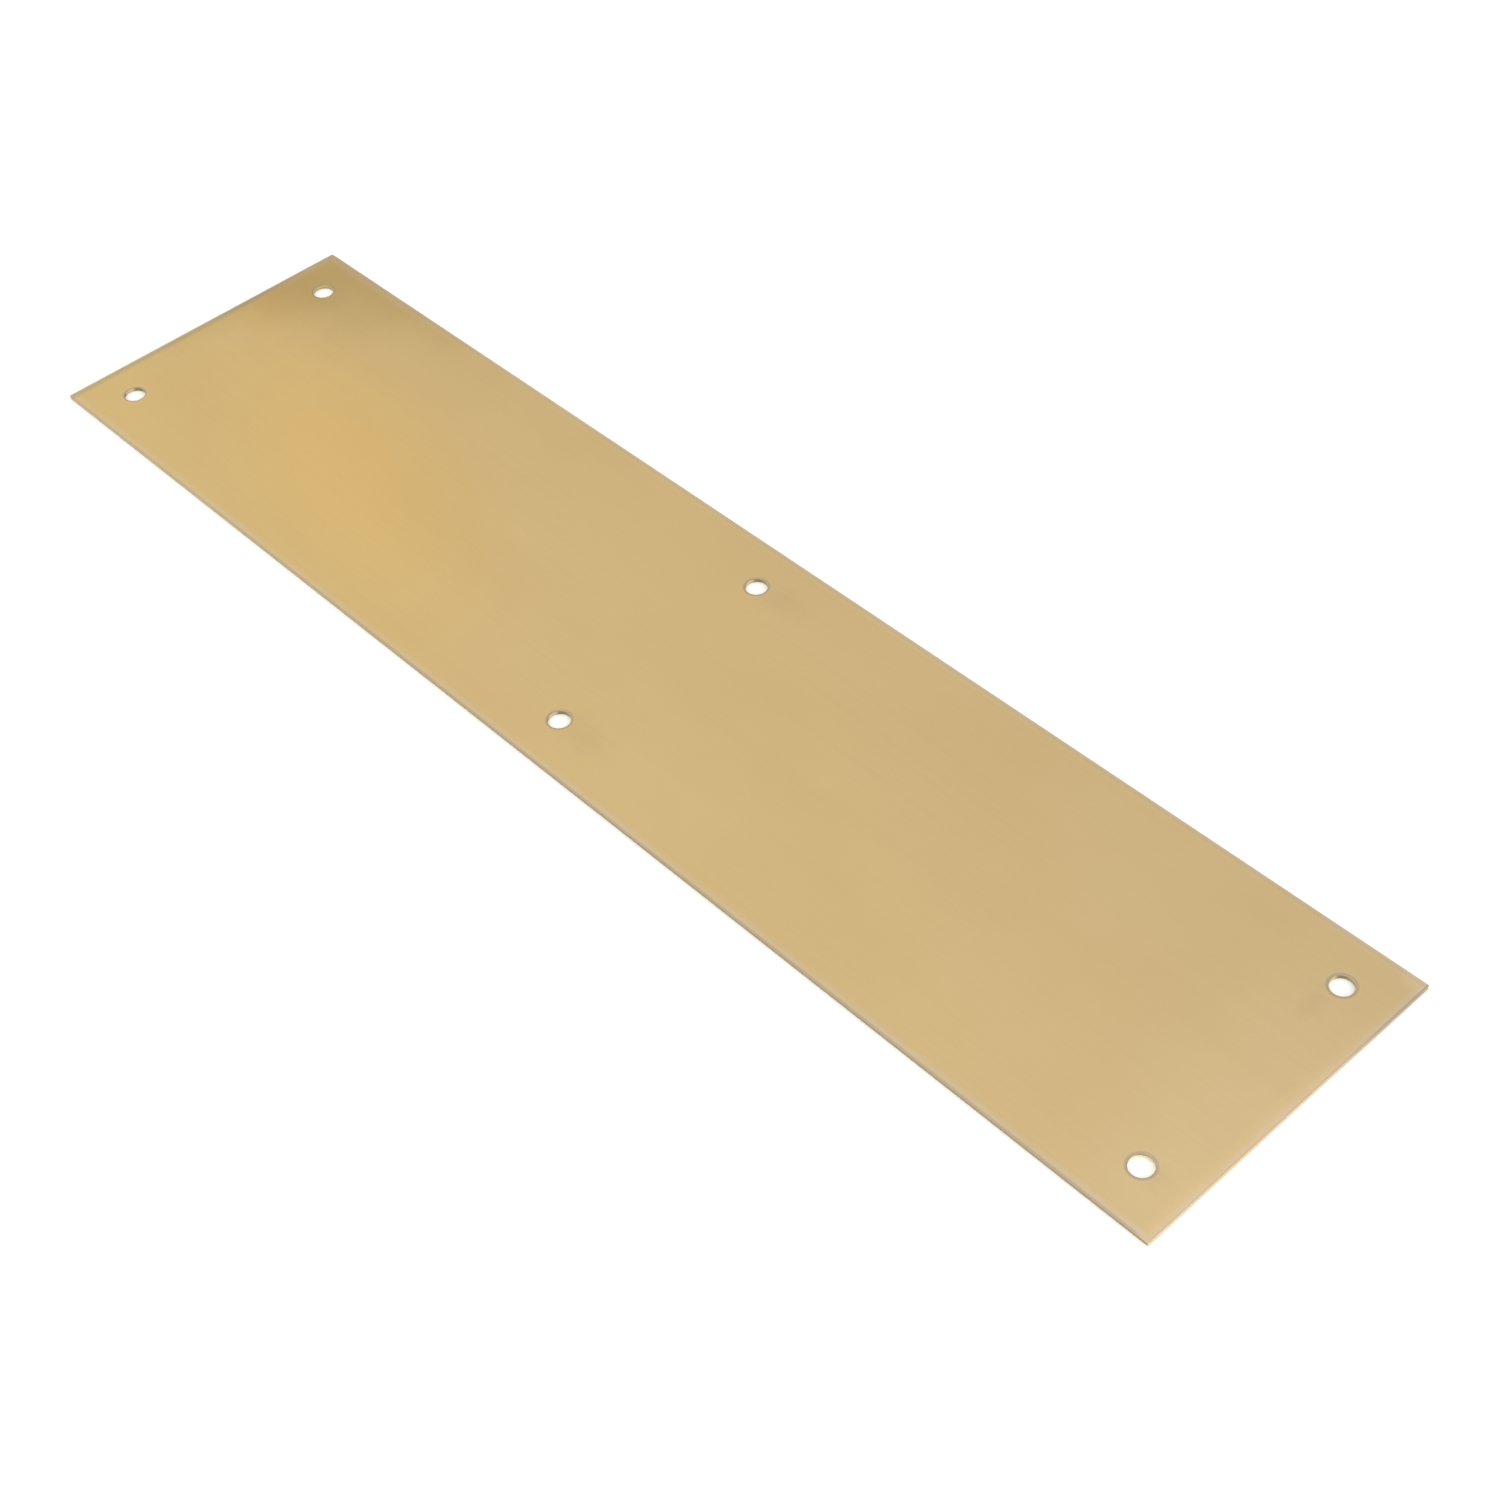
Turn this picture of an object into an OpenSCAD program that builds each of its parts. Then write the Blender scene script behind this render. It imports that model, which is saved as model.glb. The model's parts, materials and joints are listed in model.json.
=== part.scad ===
// Screw-on door plate: one sheared rectangle of sheet brass with pairs of plain
// punched screw holes along its two long sides.
// The length runs along X and the width along Y. The origin is the centre of the
// back, which lies on the door, and +Z points out of the face.

/* [Plate] */
// Length of the plate, along X
plate_len = 381; // [200:0.5:900]
// Width of the plate, along Y
plate_w = 88.9; // [60:0.1:300]
// Thickness of the brass sheet
sheet_t = 1.02; // [0.8:0.01:3]
// Radius that deburring leaves on the four corners, seen from the front
corner_r = 0.5; // [0.4:0.1:10]
// Width of the 45 degree edge break around the face
edge_break = 0.15; // [0.05:0.05:0.3]

/* [Screw holes] */
// Diameter of the straight wall of each hole
hole_d = 5.6; // [3:0.1:8]
// Distance from each end of the plate to the nearest hole centres
end_inset = 12.7; // [8:0.1:25]
// Distance from each long side of the plate to its row of hole centres
side_inset = 12.7; // [8:0.1:25]
// Number of pairs of holes, spread evenly along the length
hole_pairs = 3; // [2:1:5]
// Width of the 45 degree edge break around each hole, on the face side
hole_break = 0.1; // [0.05:0.05:0.3]

/* [Hidden] */
$fn = 96;
// How far each hole's cutter runs past the back and the face
cut_past = 1;
// Distance between neighbouring pairs, and from one row to the other
pair_pitch = (plate_len - 2 * end_inset) / (hole_pairs - 1);
row_pitch = plate_w - 2 * side_inset;
first_pair_x = -plate_len / 2 + end_inset;

// Half of the sheet's cross-section, out to half_w: square at the back, broken at
// the face
function half_section(half_w) = [
    [0, 0],
    [half_w, 0],
    [half_w, sheet_t - edge_break],
    [half_w - edge_break, sheet_t],
    [0, sheet_t]
];

// The whole cross-section, half_w to each side of the middle
module section(half_w) {
    polygon(half_section(half_w));
    mirror([1, 0])
        polygon(half_section(half_w));
}

// A strip of sheet of the given width, run out to run_len, with its broken edges
// along X
module strip(width, run_len) {
    rotate([90, 0, 90])
        linear_extrude(run_len, center = true)
            section(width / 2);
}

// The blank before punching: two crossed strips and a round post in each corner
module blank() {
    strip(plate_w, plate_len - 2 * corner_r);
    rotate([0, 0, 90])
        strip(plate_len, plate_w - 2 * corner_r);
    for (sx = [-1, 1], sy = [-1, 1])
        translate([sx * (plate_len / 2 - corner_r), sy * (plate_w / 2 - corner_r), 0])
            rotate_extrude()
                polygon(half_section(corner_r));
}

// Cutter for one screw hole: the straight punch, then the edge break at the face
module hole_cutter() {
    translate([0, 0, -cut_past])
        cylinder(d = hole_d, h = sheet_t + 2 * cut_past);
    translate([0, 0, sheet_t - hole_break])
        cylinder(
            d1 = hole_d,
            d2 = hole_d + 2 * (hole_break + cut_past),
            h = hole_break + cut_past
        );
}

// The finished plate
module plate() {
    color([0.80, 0.69, 0.46])
        difference() {
            blank();
            for (pair = [0 : hole_pairs - 1], side = [-1, 1])
                translate([first_pair_x + pair * pair_pitch, side * row_pitch / 2, 0])
                    hole_cutter();
        }
}

plate();
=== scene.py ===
import json
import math

import bmesh
import bpy
from mathutils import Matrix, Vector


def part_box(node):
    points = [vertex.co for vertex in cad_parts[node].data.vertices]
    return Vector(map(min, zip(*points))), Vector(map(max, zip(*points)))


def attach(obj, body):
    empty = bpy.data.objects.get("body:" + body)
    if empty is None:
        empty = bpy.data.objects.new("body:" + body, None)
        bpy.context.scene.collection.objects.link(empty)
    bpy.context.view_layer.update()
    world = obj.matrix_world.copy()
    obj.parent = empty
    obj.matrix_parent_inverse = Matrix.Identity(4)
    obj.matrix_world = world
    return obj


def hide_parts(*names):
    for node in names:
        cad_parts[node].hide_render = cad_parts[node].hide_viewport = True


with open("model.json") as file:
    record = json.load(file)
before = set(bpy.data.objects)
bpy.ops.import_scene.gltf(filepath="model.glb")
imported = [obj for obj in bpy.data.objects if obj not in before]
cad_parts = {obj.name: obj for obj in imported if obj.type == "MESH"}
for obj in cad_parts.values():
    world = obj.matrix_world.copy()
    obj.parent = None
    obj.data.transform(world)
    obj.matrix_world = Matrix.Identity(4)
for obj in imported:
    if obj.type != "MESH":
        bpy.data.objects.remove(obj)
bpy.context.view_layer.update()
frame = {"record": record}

MM = 0.001

# ---------------------------------------------------------------- sizes from the frame
low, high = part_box("plate")
LENGTH = high.x - low.x
WIDTH = high.y - low.y
THICK = high.z - low.z
MOUNTS = {m["name"]: m["dims"] for m in frame["record"]["mounts"]}
HOLE_R = MOUNTS["corner_screw_holes"]["hole_r_mm"] * MM
PAIR_PITCH = MOUNTS["corner_screw_holes"]["spacing_x_mm"] * MM / 2
ROW_OFFSET = MOUNTS["corner_screw_holes"]["spacing_y_mm"] * MM / 2
COLUMNS = [-PAIR_PITCH, 0.0, PAIR_PITCH]
ROWS = [-ROW_OFFSET, ROW_OFFSET]
HOLES = [(x, y) for x in COLUMNS for y in ROWS]

# ---------------------------------------------------------------- shape of the sheet
CORNER_R = 0.3 * MM         # deburred corner, seen from the front
CORNER_STEPS = 5
CELL = 8.0 * MM             # half the side of the square mesh cell round a hole
CELL_STEPS = 16             # mesh steps along each side of that cell
RING_STEPS = 7              # rings between the cell's border and the hole
RING_CROWDING = 1.6         # 1 spaces the rings evenly, and more crowds them to the hole
GRID_STEP = 9.0 * MM        # widest mesh step elsewhere
EDGE_ROLL = (0.25 * MM, 0.09 * MM)   # width and depth of the sheared edges' rollover
HOLE_ROLL = (0.32 * MM, 0.10 * MM)   # the same, drawn in by the punch
ROLL_STEPS = 5              # mesh steps round either rollover
HOLE_BARE = 2               # rollover steps round a hole that keep the face's finish
BURNISH_END = 0.62          # height of the burnished band's lower end, as a share
BREAKOUT = 0.03 * MM        # how far the fracture slopes in below that band
BREAK_BEND = (0.7, 0.6)     # where its slope eases: share of BREAKOUT, share of its height
BACK_BREAK = 0.03 * MM      # what deburring takes off the back's rim
ROUNDING = 1e-6             # part of a mesh step that isn't worth a step of its own

FACE, CUT, BACK = range(3)  # material slots of the piece


def spaced(start, stop, step):
    """Even stations from start up to but not including stop, at most step apart."""
    count = max(1, math.ceil((stop - start) / step - ROUNDING))
    return [start + (stop - start) * k / count for k in range(count)]


def stations(half, centres):
    """Grid lines from -half to half: close across each hole's cell, wide between."""
    lines, at = [], -half
    for c in centres:
        lines += spaced(at, c - CELL, GRID_STEP)
        lines += spaced(c - CELL, c + CELL, 2 * CELL / CELL_STEPS)
        at = c + CELL
    return lines + spaced(at, half, GRID_STEP) + [half]


def nearest(lines, value):
    """Number of the grid line that is closest to value."""
    return min(range(len(lines)), key=lambda k: abs(lines[k] - value))


def wall_profile(roll):
    """Points (inset, height) down a cut edge, from the flat face to the flat back."""
    width, depth = roll
    points = []
    for k in range(ROLL_STEPS + 1):
        turn = math.pi / 2 * k / ROLL_STEPS
        inset = width * (1 - math.sin(turn))
        points.append((inset, THICK - depth * (1 - math.cos(turn))))
    points += [
        (0.0, THICK * BURNISH_END),
        (BREAKOUT * BREAK_BEND[0], THICK * BURNISH_END * BREAK_BEND[1]),
        (BREAKOUT, BACK_BREAK),
        (BREAKOUT + BACK_BREAK, 0.0),
    ]
    return points


def bridge(bm, outer, inner, slot):
    """Quads between two closed loops of the same length."""
    count = len(outer)
    for k in range(count):
        n = (k + 1) % count
        face = bm.faces.new((outer[k], outer[n], inner[n], inner[k]))
        face.material_index = slot


def cell_border(i0, j0):
    """Grid places round a hole's cell, counter-clockwise from its lowest corner."""
    n = CELL_STEPS
    return (
        [(i0 + k, j0) for k in range(n)]
        + [(i0 + n, j0 + k) for k in range(n)]
        + [(i0 + n - k, j0 + n) for k in range(n)]
        + [(i0, j0 + n - k) for k in range(n)]
    )


def circle(bm, centre, radius, height):
    """A hole's loop, whose first point faces the lowest corner of its cell."""
    count = 4 * CELL_STEPS
    loop = []
    for k in range(count):
        turn = math.radians(225) + math.tau * k / count
        x = centre[0] + radius * math.cos(turn)
        y = centre[1] + radius * math.sin(turn)
        loop.append(bm.verts.new((x, y, height)))
    return loop


def flat_sheet(bm, xs, ys, height, hole_radius, slot):
    """One side of the sheet out to the grid's border, with rings round each hole.

    Returns the border's vertices, by grid place, and each hole's loop."""
    cells = [(nearest(xs, x - CELL), nearest(ys, y - CELL)) for x, y in HOLES]

    def in_cell(i, j, edge):
        """Whether (i, j) is in a cell: as a square for edge 0, as an inner point for 1."""
        return any(
            i0 + edge <= i <= i0 + CELL_STEPS - 1 and j0 + edge <= j <= j0 + CELL_STEPS - 1
            for i0, j0 in cells
        )

    grid = {
        (i, j): bm.verts.new((x, y, height))
        for i, x in enumerate(xs)
        for j, y in enumerate(ys)
        if not in_cell(i, j, 1)
    }
    for i in range(len(xs) - 1):
        for j in range(len(ys) - 1):
            if not in_cell(i, j, 0):
                corners = ((i, j), (i + 1, j), (i + 1, j + 1), (i, j + 1))
                bm.faces.new([grid[c] for c in corners]).material_index = slot
    holes = []
    for (i0, j0), centre in zip(cells, HOLES):
        border = [grid[place] for place in cell_border(i0, j0)]
        rim = circle(bm, centre, hole_radius, height)
        outer = border
        for ring in range(1, RING_STEPS):
            share = 1 - (1 - ring / RING_STEPS) ** RING_CROWDING
            loop = [bm.verts.new(a.co.lerp(b.co, share)) for a, b in zip(border, rim)]
            bridge(bm, outer, loop, slot)
            outer = loop
        bridge(bm, outer, rim, slot)
        holes.append(rim)
    return grid, holes


def grid_border(xs, ys):
    """Places round the grid's border, counter-clockwise, one list for each side."""
    last_i, last_j = len(xs) - 1, len(ys) - 1
    return [
        [(i, 0) for i in range(last_i + 1)],
        [(last_i, j) for j in range(last_j + 1)],
        [(i, last_j) for i in range(last_i, -1, -1)],
        [(0, j) for j in range(last_j, -1, -1)],
    ]


def outline(bm, xs, ys, inset, height):
    """The plate's outline moved in by inset: each side's run, then its corner arc."""
    reach = CORNER_R - inset
    loop = []
    for side, places in enumerate(grid_border(xs, ys)):
        facing = math.radians(-90 + 90 * side)
        for i, j in places:
            x = xs[i] + reach * math.cos(facing)
            y = ys[j] + reach * math.sin(facing)
            loop.append(bm.verts.new((x, y, height)))
        i, j = places[-1]
        for k in range(1, CORNER_STEPS):
            turn = facing + math.pi / 2 * k / CORNER_STEPS
            x = xs[i] + reach * math.cos(turn)
            y = ys[j] + reach * math.sin(turn)
            loop.append(bm.verts.new((x, y, height)))
    return loop


def join_border(bm, grid, loop, xs, ys, slot):
    """Joins the grid's border to an outline loop, with a fan at each corner."""
    at = 0
    for places in grid_border(xs, ys):
        for a, b in zip(places, places[1:]):
            face = bm.faces.new((grid[a], loop[at], loop[at + 1], grid[b]))
            face.material_index = slot
            at += 1
        corner = grid[places[-1]]
        for _ in range(CORNER_STEPS):
            face = bm.faces.new((corner, loop[at], loop[(at + 1) % len(loop)]))
            face.material_index = slot
            at += 1


def wall(bm, loops, first_cut):
    """Skins a cut edge, with the face's finish down to the loop numbered first_cut."""
    for k in range(len(loops) - 1):
        bridge(bm, loops[k], loops[k + 1], FACE if k < first_cut else CUT)


def build_sheet():
    """The whole sheet as one closed mesh."""
    bm = bmesh.new()
    xs = stations(LENGTH / 2 - CORNER_R, COLUMNS)
    ys = stations(WIDTH / 2 - CORNER_R, ROWS)
    edge = wall_profile(EDGE_ROLL)
    punch = wall_profile(HOLE_ROLL)
    sides = {}
    for slot, height, k in ((FACE, THICK, 0), (BACK, 0.0, -1)):
        grid, holes = flat_sheet(bm, xs, ys, height, HOLE_R + punch[k][0], slot)
        rim = outline(bm, xs, ys, *edge[k])
        join_border(bm, grid, rim, xs, ys, slot)
        sides[slot] = (rim, holes)
    between = [outline(bm, xs, ys, *p) for p in edge[1:-1]]
    wall(bm, [sides[FACE][0], *between, sides[BACK][0]], ROLL_STEPS)
    for n, centre in enumerate(HOLES):
        between = [circle(bm, centre, HOLE_R + i, z) for i, z in punch[1:-1]]
        wall(bm, [sides[FACE][1][n], *between, sides[BACK][1][n]], HOLE_BARE)
    bmesh.ops.recalc_face_normals(bm, faces=bm.faces)
    for f in bm.faces:
        f.smooth = True
    mesh = bpy.data.meshes.new("brass_plate")
    bm.to_mesh(mesh)
    bm.free()
    return mesh


# ---------------------------------------------------------------- the materials' values
# Colours are linear RGB. Lengths and places in a material are millimetres.
HALF_LENGTH = LENGTH / 2 / MM
HALF_WIDTH = WIDTH / 2 / MM

BRASS = (0.608, 0.440, 0.198)        # satin face
BRASS_DEEP = (0.593, 0.425, 0.187)   # its faint darker mottling
CUT_BRIGHT = (0.575, 0.47, 0.355)    # burnished band of a sheared edge
CUT_DULL = (0.495, 0.395, 0.30)      # fractured band below it
CUT_LIT_END = (0.63, 0.55, 0.43)      # painted light on the +X end's edge
PUNCHED_SHADED = (0.27, 0.21, 0.125)        # a hole's wall, with painted shade on the sides away from +X
PUNCHED_LIT = (0.60, 0.50, 0.34)    # painted light on the sides of it that face +X
BACK_BRASS = (0.55, 0.42, 0.20)      # mill finish of the back

# Tints, which multiply the colour under them
WARMER = (1.05, 1.0, 0.86)           # a broad area towards the -X end
STAINED = (1.0, 0.965, 0.90)         # a stain at the -X end
STREAKS_AND_CORNER_SHADE = (0.93, 0.93, 0.94)          # faint streaks, and painted shade round the -X, +Y corner
CORNER_SHADE = (0.82, 0.80, 0.69)       # painted shade in the -X, +Y corner
CORNER_SHADE_EDGES = (0.87, 0.86, 0.95)  # the same painted shade, along the corner's two edges
PALE_HIGHLIGHT = (1.06, 1.07, 1.14)           # a painted highlight over the +X end
END_HIGHLIGHT = (1.06, 1.05, 1.03)         # painted highlight on the last few millimetres of that end
PALE_RIM_TINT = (1.0, 1.09, 1.5)              # a pale band just inside the rims
END_SHADE = (0.80, 0.84, 0.92)           # painted shade in a band along the -X end
SMUDGE_AND_END_SHADE = (0.95, 0.94, 0.95)         # smudges beside four holes, and painted shade at the -X end
RIM_SHADE = (0.72, 0.72, 0.76)        # painted shade in thin lines along the +X end, the -Y side and round the holes, and a faint dark line along the -X end and +Y side
DIMMED = (0.73, 0.73, 0.76)          # the sheared edges towards +X

# Noise patterns: cells per millimetre along X, Y and Z, and the noise's own settings
GRAIN = dict(per_mm=(0.025, 5.0, 5.0), detail=3, roughness=0.65)
STREAKS = dict(per_mm=(0.008, 0.9, 0.9), detail=2, shift=(3, 7, 0))
CLOUDS = dict(per_mm=(0.018, 0.03, 0.03), detail=3, shift=(1, 4, 2))
PATCHES = dict(per_mm=(0.12, 0.3, 0.3), detail=3)
DRIFTS = dict(per_mm=(0.05, 0.05, 0.05))
RAGS = dict(per_mm=(0.2, 0.2, 0.2), detail=1, shift=(5, 1, 0))
TEETH = dict(per_mm=(4.0, 4.0, 0.4), detail=3)
ROLLING = dict(per_mm=(0.01, 1.5, 1.5), detail=4)
BACK_CLOUDS = dict(per_mm=(0.03, 0.03, 0.03), detail=3)

# Ovals on the face: centre, radii, and the share of the oval that is at full strength
WARM_AREA = ((-108, -38), (90, 42), 0.1)
WARM_SLANT = 0.25                    # the share of X that is added to its Y
STAIN = ((-184, 18), (18, 16), 0.1)
# painted highlight on the +X, +Y tip
HIGHLIGHT_TIP = ((188.5, 43.5), (6, 4), 0.2)
SMUDGES_AND_END_SHADE = (                          # centre, radii and strength of each
    ((7.5, 32.5), (13.0, 7.0), 0.9),
    ((7.5, -31.0), (13.0, 7.0), 1.0),
    ((176.5, 23.5), (4.0, 7.0), 1.0),
    ((182.0, -32.0), (4.0, 4.5), 1.0),
    # painted shade at the -X end
    ((-191.0, -2.0), (11.0, 28.0), 1.0),
)
OVAL_SWAY = (1.5, -1.2)            # how far the outline of a smudge, or of the end's painted shade, strays along X and Y

# Passages: the two places, distances or noise levels between which a mask changes, and
# where two more numbers follow, the mask's value at each of them
CLOUD_LEVELS = (0.3, 0.7)
STREAK_LEVELS = (0.35, 0.75, 0.0, 0.22)
PATCH_LEVELS = (0.3, 0.7, 0.6, 1.0)
CORNER_SHADE_REACH = (76, 58)                   # painted shade in the -X, +Y corner: reach along the long side, and down the -X end
# reach of the fainter painted shade round that corner
CORNER_SHADE_AROUND = (170, 60)
CORNER_SHADE_RISE = (1.0, 0.2)            # shares of that reach
CORNER_SHADE_DRIFT = 0.07                 # how far its outline strays, as the same kind of share
CORNER_SHADE_PALES = (4.0, 1.0)           # from the outline
PALE_HIGHLIGHT_REACH = (40, 2)                   # painted highlight, from the +X end
PALE_HIGHLIGHT_ACROSS = (40, -10)              # y
LIT_END_REACH = 4.5                   # from the +X end
LIT_END_FULLY = 0.2                   # share of a reach where that painted light is strongest
LIT_END_ACROSS = (38.0, 6.0)          # y
END_SHADE_REACH = (3.0, 1.0)             # painted shade, from the -X end
END_SHADE_ACROSS = (38, 12)              # y
PALE_RIM_BAND = (2.4, 0.2)               # from the outline
PALE_RIM_RING = (1.6, 0.2, 0.0, 0.5)     # from a hole
SET_IN = (0.1, 0.9, 0.15, 1.0)       # from the -X end or the +Y side
LINE_START = 0.12                    # where the +X end and -Y side's line begins to fade
LINE_WIDTH = (0.4, 0.65)             # and where it ends, at the plate's -X and +X ends
RING_START = 0.25                    # the same for the rings round the holes
RING_WIDTH = (0.65, 1.0)
RING_INSIDE = (0.0, 0.35, 0.6, 1.0)  # a ring's paler inner edge
FAINT_LINE = (1.6, 0.9)              # from the -X end or the +Y side
FAINT_SHARE = 0.3
END_TO_END = (-190, 190)             # x
HOLE_TO_HOLE = (-180, 180)           # x
PALE_RIM_IF_LIT, LINE_IF_LIT = 0.7, 0.3    # what is left of those masks under the +X end's painted light

# The cut edges and the holes' walls
BAND_RAGGED = 0.15                   # how far the band's edge strays, as a share of height
BAND_BLUR = 0.12                     # height over which break turns to burnish
DIMMED_SPAN = (-HALF_LENGTH, 0.3 * HALF_LENGTH)    # x
CUT_LIT_END_REACH = 0.4               # reach of the painted light on the edge, from the +X end
FROM_HOLE = (1.0, 0.5)               # how near a hole a cut edge is that hole's wall
LIT_WALL_X = (0.78, 0.97)                # x of the normal, on walls painted fully lit
HALF_LIT_WALL_X = (0.5, -0.1, 0.0, 0.5)  # and on walls painted half lit
LIT_HOLE_WALLS = (                     # two holes whose walls are painted lighter, as painted light:
    # centre, colour, and the height below which it is bright, as a share
    ((PAIR_PITCH / MM, -ROW_OFFSET / MM), (0.82, 0.73, 0.58), 0.64),
    ((-PAIR_PITCH / MM, ROW_OFFSET / MM), (0.48, 0.385, 0.23), 1.0),
)
LIT_HOLE_WALL_REACH = ((8, 8), 0.6)    # radii round the centre, and the share at full strength
LIT_HOLE_WALL_BLUR = 0.06

SATIN_ROUGHNESS = (0.31, 0.37)       # from the lowest of the grain to the highest
SHADED_CORNER_ROUGHENS = 0.03
CUT_ROUGHNESS = (0.6, 0.45)          # of the break, and of the burnished band
BACK_ROUGHNESS = (0.4, 0.5)
COAT_WEIGHT, COAT_ROUGHNESS = 0.2, 0.35    # the face's lacquer
CUT_METALLIC = 0.4                   # the rest is scattered, as torn metal does
GRAIN_DEPTH = 0.002 * MM
TEETH_DEPTH = 0.01 * MM
ROLLING_DEPTH = 0.003 * MM


# ---------------------------------------------------------------- materials
class Tree:
    """The nodes of a material or a world, with a short method for each kind used."""

    def __init__(self, owner, coordinates, scale):
        owner.use_nodes = True
        self.owner = owner
        self.nodes = owner.node_tree.nodes
        self.links = owner.node_tree.links
        self.source = self.nodes.new("ShaderNodeTexCoord")
        scaled = self.nodes.new("ShaderNodeVectorMath")
        scaled.operation = "SCALE"
        scaled.inputs["Scale"].default_value = scale
        self.links.new(self.source.outputs[coordinates], scaled.inputs[0])
        self.place = scaled.outputs["Vector"]
        self.x, self.y, self.z = self.split(self.place)

    def feed(self, value, socket):
        """Sets a socket, or links it if value is another node's output."""
        if isinstance(value, bpy.types.NodeSocket):
            self.links.new(value, socket)
        elif isinstance(value, tuple):
            socket.default_value = (*value, 1)
        else:
            socket.default_value = value

    def split(self, vector):
        """The x, y and z of a vector."""
        node = self.nodes.new("ShaderNodeSeparateXYZ")
        self.links.new(vector, node.inputs[0])
        return node.outputs

    def math(self, operation, *values):
        """A maths node's result."""
        node = self.nodes.new("ShaderNodeMath")
        node.operation = operation
        for value, socket in zip(values, node.inputs):
            self.feed(value, socket)
        return node.outputs[0]

    def times(self, first, *others):
        """The product of all the values."""
        for other in others:
            first = self.math("MULTIPLY", first, other)
        return first

    def largest(self, first, *others):
        """The largest of all the values."""
        for other in others:
            first = self.math("MAXIMUM", first, other)
        return first

    def span(self, value, start, stop, low=0.0, high=1.0):
        """value's smooth passage from start to stop, as low to high."""
        node = self.nodes.new("ShaderNodeMapRange")
        node.interpolation_type = "SMOOTHSTEP"
        for v, name in ((value, "Value"), (start, "From Min"), (stop, "From Max"),
                        (low, "To Min"), (high, "To Max")):
            self.feed(v, node.inputs[name])
        return node.outputs["Result"]

    def noise(self, per_mm, detail=2.0, roughness=0.5, shift=(0, 0, 0)):
        """Noise from 0 to 1, with per_mm cells per millimetre along x, y and z."""
        place = self.nodes.new("ShaderNodeMapping")
        place.inputs["Scale"].default_value = per_mm
        place.inputs["Location"].default_value = shift
        self.links.new(self.place, place.inputs["Vector"])
        node = self.nodes.new("ShaderNodeTexNoise")
        node.inputs["Scale"].default_value = 1.0
        node.inputs["Detail"].default_value = detail
        node.inputs["Roughness"].default_value = roughness
        self.links.new(place.outputs["Vector"], node.inputs["Vector"])
        return node.outputs["Fac"]

    def spread(self, noise, low, high):
        """Noise, whose values are mostly from 0.2 to 0.8, as low to high."""
        return self.span(noise, 0.2, 0.8, low, high)

    def mix(self, share, a, b, blend="MIX"):
        """Colour a where share is 0, and b, or a blended with b, where it is 1."""
        node = self.nodes.new("ShaderNodeMix")
        node.data_type = "RGBA"
        node.blend_type = blend
        self.feed(share, node.inputs["Factor"])
        self.feed(a, node.inputs[6])
        self.feed(b, node.inputs[7])
        return node.outputs[2]

    def tint(self, share, colour, by):
        """The colour multiplied by another, in the given share."""
        return self.mix(share, colour, by, "MULTIPLY")

    def oval(self, x, y, centre, radii, core):
        """1 inside an oval's core, falling to 0 at its rim. core is a share of it."""
        across = self.math("DIVIDE", self.math("SUBTRACT", x, centre[0]), radii[0])
        along = self.math("DIVIDE", self.math("SUBTRACT", y, centre[1]), radii[1])
        squares = [self.math("POWER", self.math("ABSOLUTE", v), 2.0) for v in (across, along)]
        return self.span(self.math("SQRT", self.math("ADD", *squares)), 1.0, core)

    def bump(self, height, depth):
        """Bump from a height of 0 to 1, which stands for depth metres."""
        node = self.nodes.new("ShaderNodeBump")
        node.inputs["Strength"].default_value = 1.0
        node.inputs["Distance"].default_value = depth
        self.links.new(height, node.inputs["Height"])
        return node.outputs["Normal"]

    def finish(self, colour, roughness, metallic, normal=None):
        """Sets the material's own shader, and returns the material."""
        shader = self.nodes["Principled BSDF"]
        self.feed(colour, shader.inputs["Base Color"])
        self.feed(roughness, shader.inputs["Roughness"])
        shader.inputs["Metallic"].default_value = metallic
        if normal is not None:
            self.links.new(normal, shader.inputs["Normal"])
        return self.owner


def material_tree(name):
    """A new material's tree, whose places are millimetres from the plate's origin."""
    return Tree(bpy.data.materials.new(name), "Object", 1 / MM)


def from_sides(t):
    """Distances in from the -X end or +Y side, and from the +X end or -Y side."""
    first = t.math("MINIMUM", t.math("ADD", t.x, HALF_LENGTH),
                   t.math("SUBTRACT", HALF_WIDTH, t.y))
    second = t.math("MINIMUM", t.math("SUBTRACT", HALF_LENGTH, t.x),
                    t.math("ADD", t.y, HALF_WIDTH))
    return first, second


def from_hole(t):
    """Distance outwards from the wall of the nearest screw hole."""
    pitch, offset = PAIR_PITCH / MM, ROW_OFFSET / MM
    x = t.math("WRAP", t.x, pitch / 2, -pitch / 2)
    y = t.math("WRAP", t.math("ADD", t.y, offset), offset, -offset)
    squares = t.math("ADD", t.math("MULTIPLY", x, x), t.math("MULTIPLY", y, y))
    return t.math("SUBTRACT", t.math("SQRT", squares), HOLE_R / MM)


def shaded_corner(t, reach_x, reach_y):
    """Mask of the painted shade in the -X, +Y corner, out to reach_x along its long side and
    reach_y down.
    """
    along = t.math("DIVIDE", t.math("ADD", t.x, HALF_LENGTH), reach_x)
    across = t.math("DIVIDE", t.math("SUBTRACT", HALF_WIDTH, t.y), reach_y)
    drift = t.spread(t.noise(**DRIFTS), -CORNER_SHADE_DRIFT, CORNER_SHADE_DRIFT)
    return t.span(t.math("ADD", t.math("ADD", along, across), drift), *CORNER_SHADE_RISE)


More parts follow.
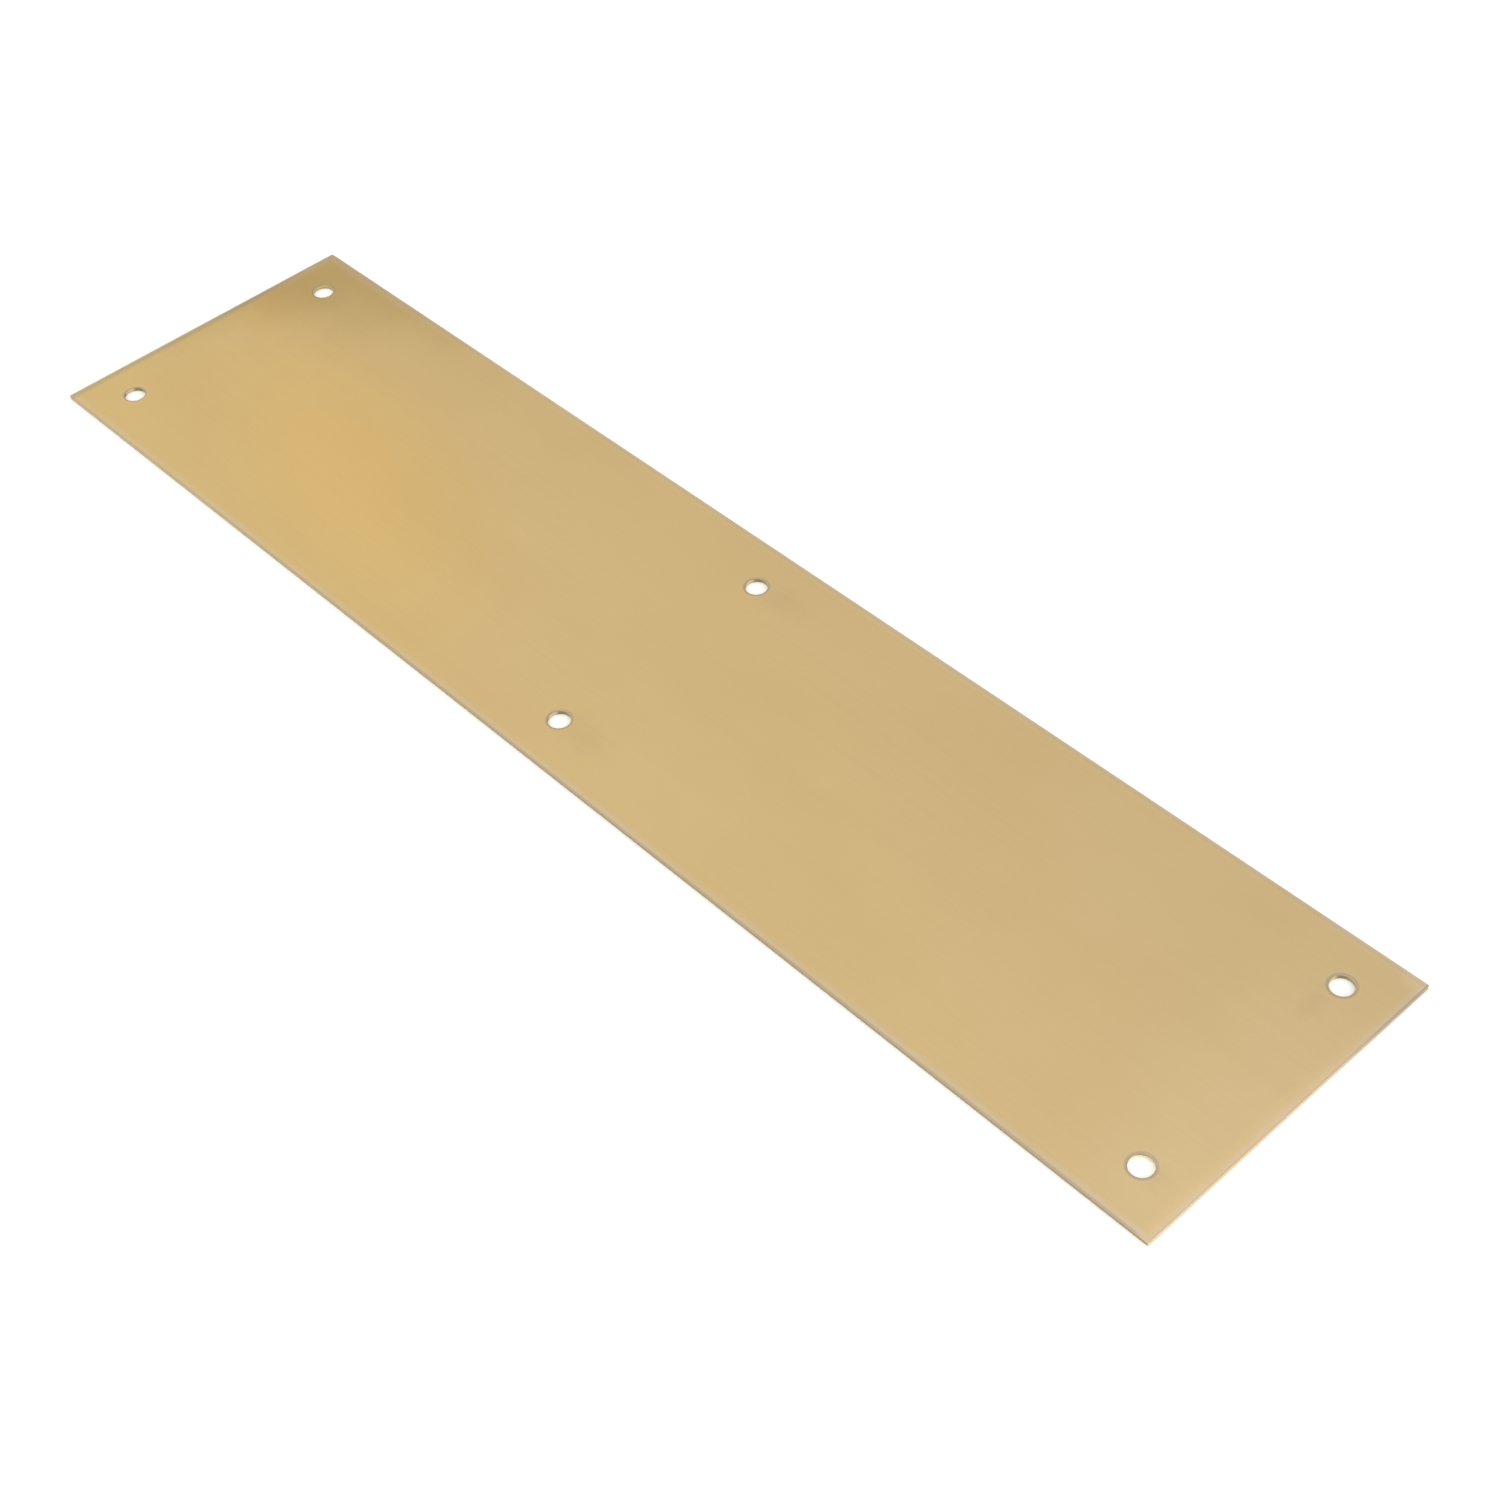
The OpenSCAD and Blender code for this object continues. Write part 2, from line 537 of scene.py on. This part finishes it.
def smudges_and_end_shade(t):
    """Mask of the faint, ragged smudges beside four of the holes, and of the painted shade at
    the -X end.
    """
    ragged = t.noise(**RAGS)
    sway_x, sway_y = OVAL_SWAY
    x = t.math("ADD", t.x, t.spread(ragged, -sway_x, sway_x))
    y = t.math("ADD", t.y, t.spread(ragged, -sway_y, sway_y))
    ovals = [t.times(t.oval(x, y, centre, radii, 0.0), strength)
             for centre, radii, strength in SMUDGES_AND_END_SHADE]
    return t.largest(*ovals)


def lit_end(t, reach):
    """Mask of the painted light on the +X end, in to reach, weakest near +Y."""
    at_end = t.span(t.x, HALF_LENGTH - reach, HALF_LENGTH - LIT_END_FULLY * reach)
    return t.times(at_end, t.span(t.y, *LIT_END_ACROSS))


def pale_end_highlight(t):
    """Mask of the painted highlight on the +X end, and on the small tip at its +Y corner."""
    start, full = PALE_HIGHLIGHT_REACH
    end = t.span(t.x, HALF_LENGTH - start, HALF_LENGTH - full)
    return t.largest(t.times(end, t.span(t.y, *PALE_HIGHLIGHT_ACROSS)), t.oval(t.x, t.y, *HIGHLIGHT_TIP))


def pale_rims(t, rim, hole, end_light):
    """Mask of the pale, patchy bands just inside the outline and round the holes."""
    bands = t.largest(t.span(rim, *PALE_RIM_BAND), t.span(hole, *PALE_RIM_RING))
    patchy = t.span(t.noise(**PATCHES), *PATCH_LEVELS)
    return t.times(bands, t.span(end_light, 0, 1, 1, PALE_RIM_IF_LIT), patchy)


def rim_shade_lines(t, before, hole, end_light, faint):
    """Mask of the painted shade in dark lines along the rims and round the holes, which
    includes the given faint dark line.
    """
    width = t.span(t.x, *END_TO_END, *LINE_WIDTH)
    line_kept = t.span(end_light, 0, 1, 1, LINE_IF_LIT)
    line = t.times(t.span(before, width, LINE_START), line_kept)
    width = t.span(t.x, *HOLE_TO_HOLE, *RING_WIDTH)
    ring = t.times(t.span(hole, width, RING_START), t.span(hole, *RING_INSIDE))
    return t.largest(line, ring, faint)


def satin_brass():
    """The face: satin brass brushed along its length, then lacquered."""
    t = material_tree("satin_brass")
    grain = t.noise(**GRAIN)
    colour = t.mix(t.span(t.noise(**CLOUDS), *CLOUD_LEVELS), BRASS_DEEP, BRASS)
    colour = t.tint(t.span(t.noise(**STREAKS), *STREAK_LEVELS), colour, STREAKS_AND_CORNER_SHADE)
    slanted = t.math("ADD", t.y, t.times(t.x, WARM_SLANT))
    colour = t.tint(t.oval(t.x, slanted, *WARM_AREA), colour, WARMER)
    colour = t.tint(t.oval(t.x, t.y, *STAIN), colour, STAINED)

    behind, before = from_sides(t)
    rim = t.math("MINIMUM", behind, before)
    hole = from_hole(t)
    end_light = lit_end(t, LIT_END_REACH)
    colour = t.tint(pale_rims(t, rim, hole, end_light), colour, PALE_RIM_TINT)
    # painted highlight over the +X end and its +Y tip
    colour = t.tint(pale_end_highlight(t), colour, PALE_HIGHLIGHT)
    # painted highlight on the last few millimetres of the +X end
    colour = t.tint(end_light, colour, END_HIGHLIGHT)

    set_in = t.span(behind, *SET_IN)
    # painted shade in a band along the -X end
    start, full = END_SHADE_REACH
    end = t.span(t.x, start - HALF_LENGTH, full - HALF_LENGTH)
    colour = t.tint(t.times(end, t.span(t.y, *END_SHADE_ACROSS), set_in), colour, END_SHADE)
    # painted shade round and in the -X, +Y corner
    colour = t.tint(shaded_corner(t, *CORNER_SHADE_AROUND), colour, STREAKS_AND_CORNER_SHADE)
    corner = shaded_corner(t, *CORNER_SHADE_REACH)
    tone = t.mix(t.span(rim, *CORNER_SHADE_PALES), CORNER_SHADE, CORNER_SHADE_EDGES)
    colour = t.tint(corner, colour, tone)
    # smudges beside four holes, and painted shade at the -X end
    colour = t.tint(smudges_and_end_shade(t), colour, SMUDGE_AND_END_SHADE)
    faint = t.times(t.span(behind, *FAINT_LINE), set_in, FAINT_SHARE)
    # painted shade in dark lines along the rims and round the holes
    colour = t.tint(rim_shade_lines(t, before, hole, end_light, faint), colour, RIM_SHADE)

    roughness = t.math("ADD", t.spread(grain, *SATIN_ROUGHNESS),
                       t.times(corner, SHADED_CORNER_ROUGHENS))
    shader = t.nodes["Principled BSDF"]
    shader.inputs["Coat Weight"].default_value = COAT_WEIGHT
    shader.inputs["Coat Roughness"].default_value = COAT_ROUGHNESS
    return t.finish(colour, roughness, 1.0, t.bump(grain, GRAIN_DEPTH))


def lit_and_shaded_punched_walls(t, height):
    """Colour of the holes' walls, at the given height as a share of the thickness: painted
    light on the sides that face +X and on two holes' walls, painted shade on the rest.
    """
    to_x = t.split(t.source.outputs["Normal"])["X"]
    # painted light on walls that face +X, painted shade on the rest
    lit_share = t.largest(t.span(to_x, *LIT_WALL_X), t.span(to_x, *HALF_LIT_WALL_X))
    colour = t.mix(lit_share, PUNCHED_SHADED, PUNCHED_LIT)
    # painted light on the walls of two holes
    for centre, tone, top in LIT_HOLE_WALLS:
        low_enough = t.span(height, top + LIT_HOLE_WALL_BLUR, top - LIT_HOLE_WALL_BLUR)
        here = t.times(t.oval(t.x, t.y, centre, *LIT_HOLE_WALL_REACH), low_enough)
        colour = t.mix(here, colour, tone)
    return colour


def cut_brass():
    """The sheared edges and the holes' walls: a burnished band over a dull break."""
    t = material_tree("cut_brass")
    teeth = t.noise(**TEETH)
    height = t.math("DIVIDE", t.z, THICK / MM)
    ragged = t.math("ADD", height, t.times(teeth, BAND_RAGGED))
    band = t.span(ragged, BURNISH_END, BURNISH_END + BAND_BLUR)
    colour = t.mix(band, CUT_DULL, CUT_BRIGHT)
    colour = t.tint(t.span(t.x, *DIMMED_SPAN), colour, DIMMED)
    # painted light on the +X end's edge
    colour = t.mix(lit_end(t, CUT_LIT_END_REACH), colour, CUT_LIT_END)
    colour = t.mix(t.span(from_hole(t), *FROM_HOLE), colour, lit_and_shaded_punched_walls(t, height))
    roughness = t.span(band, 0, 1, *CUT_ROUGHNESS)
    return t.finish(colour, roughness, CUT_METALLIC, t.bump(teeth, TEETH_DEPTH))


def mill_brass():
    """The back, as it left the rolling mill."""
    t = material_tree("mill_brass")
    rolling = t.noise(**ROLLING)
    colour = t.mix(t.noise(**BACK_CLOUDS), BACK_BRASS, BRASS_DEEP)
    roughness = t.spread(rolling, *BACK_ROUGHNESS)
    return t.finish(colour, roughness, 1.0, t.bump(rolling, ROLLING_DEPTH))


# ---------------------------------------------------------------- stage, light and camera
CAMERA_AIM = Vector((38.55, -6.82, 0)) * MM
CAMERA_DISTANCE = 591.8 * MM
CAMERA_AZIMUTH, CAMERA_ELEVATION, CAMERA_ROLL = 49.58, 45.97, -3.97
CAMERA_LENS = 61.62
CAMERA_CLIP = 0.01, 50
FLOOR_HALF = 4.0
FLOOR_GAP = 0.02 * MM
FLOOR_COLOUR = (0.92, 0.91, 0.92)
FLOOR_ROUGHNESS = 0.8
KEY_LIGHT = dict(azimuth=90, elevation=20, distance=1.5, side=0.8, radiance=4.0)

# The room's light, by the direction it comes from. A direction is a unit vector.
ROOM_FRONT = (1.27, 1.237, 1.03)
ROOM_BACK = (0.90, 0.917, 1.01)
FRONT_TO_BACK = (0.0, 0.7)           # its y, between which front turns to back
WARM_LOW = (0.93, 0.88, 0.73)        # tints of that light
COOL_HIGH = (1.08, 1.12, 1.31)
LOW_TO_HIGH = (0.3, 1.0)             # its z, between which warm turns to cool
DIM_LOW = (0.0, 0.5, 0.62, 1.0)      # z from and to, and the strength at each
BACK_UNDIMMED = (0.1, 0.5)           # y, towards the second of which that dimming ends


def direction(azimuth, elevation):
    """Unit vector towards a place in the room. Azimuth 0 is -Y, and 90 is +X."""
    a, e = math.radians(azimuth), math.radians(elevation)
    return Vector((math.sin(a) * math.cos(e), -math.cos(a) * math.cos(e), math.sin(e)))


def make_camera():
    """The camera, in the place that a perspective fit of the plate's outline gave."""
    data = bpy.data.cameras.new("camera")
    data.lens = CAMERA_LENS
    data.clip_start, data.clip_end = CAMERA_CLIP
    camera = bpy.data.objects.new("camera", data)
    bpy.context.scene.collection.objects.link(camera)
    back = direction(CAMERA_AZIMUTH, CAMERA_ELEVATION)
    camera.location = CAMERA_AIM + back * CAMERA_DISTANCE
    turn = Matrix.Rotation(math.radians(CAMERA_ROLL), 4, "Z").to_quaternion()
    camera.rotation_mode = "QUATERNION"
    camera.rotation_quaternion = (-back).to_track_quat("-Z", "Y") @ turn
    bpy.context.scene.camera = camera


def make_floor():
    """A large pale floor with no gloss, just under the plate's back."""
    mesh = bpy.data.meshes.new("floor")
    z = low.z - FLOOR_GAP
    corners = [(sx * FLOOR_HALF, sy * FLOOR_HALF, z)
               for sx, sy in ((-1, -1), (1, -1), (1, 1), (-1, 1))]
    mesh.from_pydata(corners, [], [(0, 1, 2, 3)])
    floor = bpy.data.objects.new("floor", mesh)
    bpy.context.scene.collection.objects.link(floor)
    t = material_tree("pale_floor")
    t.nodes["Principled BSDF"].inputs["Specular IOR Level"].default_value = 0.0
    mesh.materials.append(t.finish(FLOOR_COLOUR, FLOOR_ROUGHNESS, 0.0))


def softbox(name, azimuth, elevation, distance, side, radiance):
    """A square area light aimed at the plate's middle, of the given radiance."""
    data = bpy.data.lights.new(name, "AREA")
    data.shape = "SQUARE"
    data.size = side
    data.energy = radiance * math.pi * side * side
    light = bpy.data.objects.new(name, data)
    bpy.context.scene.collection.objects.link(light)
    towards = direction(azimuth, elevation)
    light.location = towards * distance
    light.rotation_mode = "QUATERNION"
    light.rotation_quaternion = (-towards).to_track_quat("-Z", "Y")


def make_world():
    """A white room, brighter at the front (-Y) than at the back.

    Its light is warmer low down and cooler overhead. The camera itself sees it white."""
    world = bpy.data.worlds.new("studio")
    bpy.context.scene.world = world
    t = Tree(world, "Generated", 1.0)
    sky = t.nodes["Background"]
    across = t.mix(t.span(t.y, *FRONT_TO_BACK), ROOM_FRONT, ROOM_BACK)
    upwards = t.mix(t.span(t.z, *LOW_TO_HIGH), WARM_LOW, COOL_HIGH)
    t.feed(t.tint(1.0, across, upwards), sky.inputs["Color"])
    strength = t.largest(t.span(t.z, *DIM_LOW), t.span(t.y, *BACK_UNDIMMED))
    t.feed(strength, sky.inputs["Strength"])
    seen = t.nodes.new("ShaderNodeBackground")
    seen.inputs["Color"].default_value = (1, 1, 1, 1)
    either = t.nodes.new("ShaderNodeMixShader")
    t.feed(t.nodes.new("ShaderNodeLightPath").outputs["Is Camera Ray"], either.inputs[0])
    t.feed(sky.outputs[0], either.inputs[1])
    t.feed(seen.outputs[0], either.inputs[2])
    t.feed(either.outputs[0], t.nodes["World Output"].inputs["Surface"])


def make_plate():
    """The visible sheet, with a material for each of the mesh's three slots."""
    mesh = build_sheet()
    for material in (satin_brass(), cut_brass(), mill_brass()):
        mesh.materials.append(material)
    plate = bpy.data.objects.new("brass_plate", mesh)
    bpy.context.scene.collection.objects.link(plate)
    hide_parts("plate")
    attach(plate, "root")


make_plate()
make_floor()
make_world()
softbox("key", **KEY_LIGHT)
make_camera()
bpy.context.scene.view_settings.view_transform = "Standard"
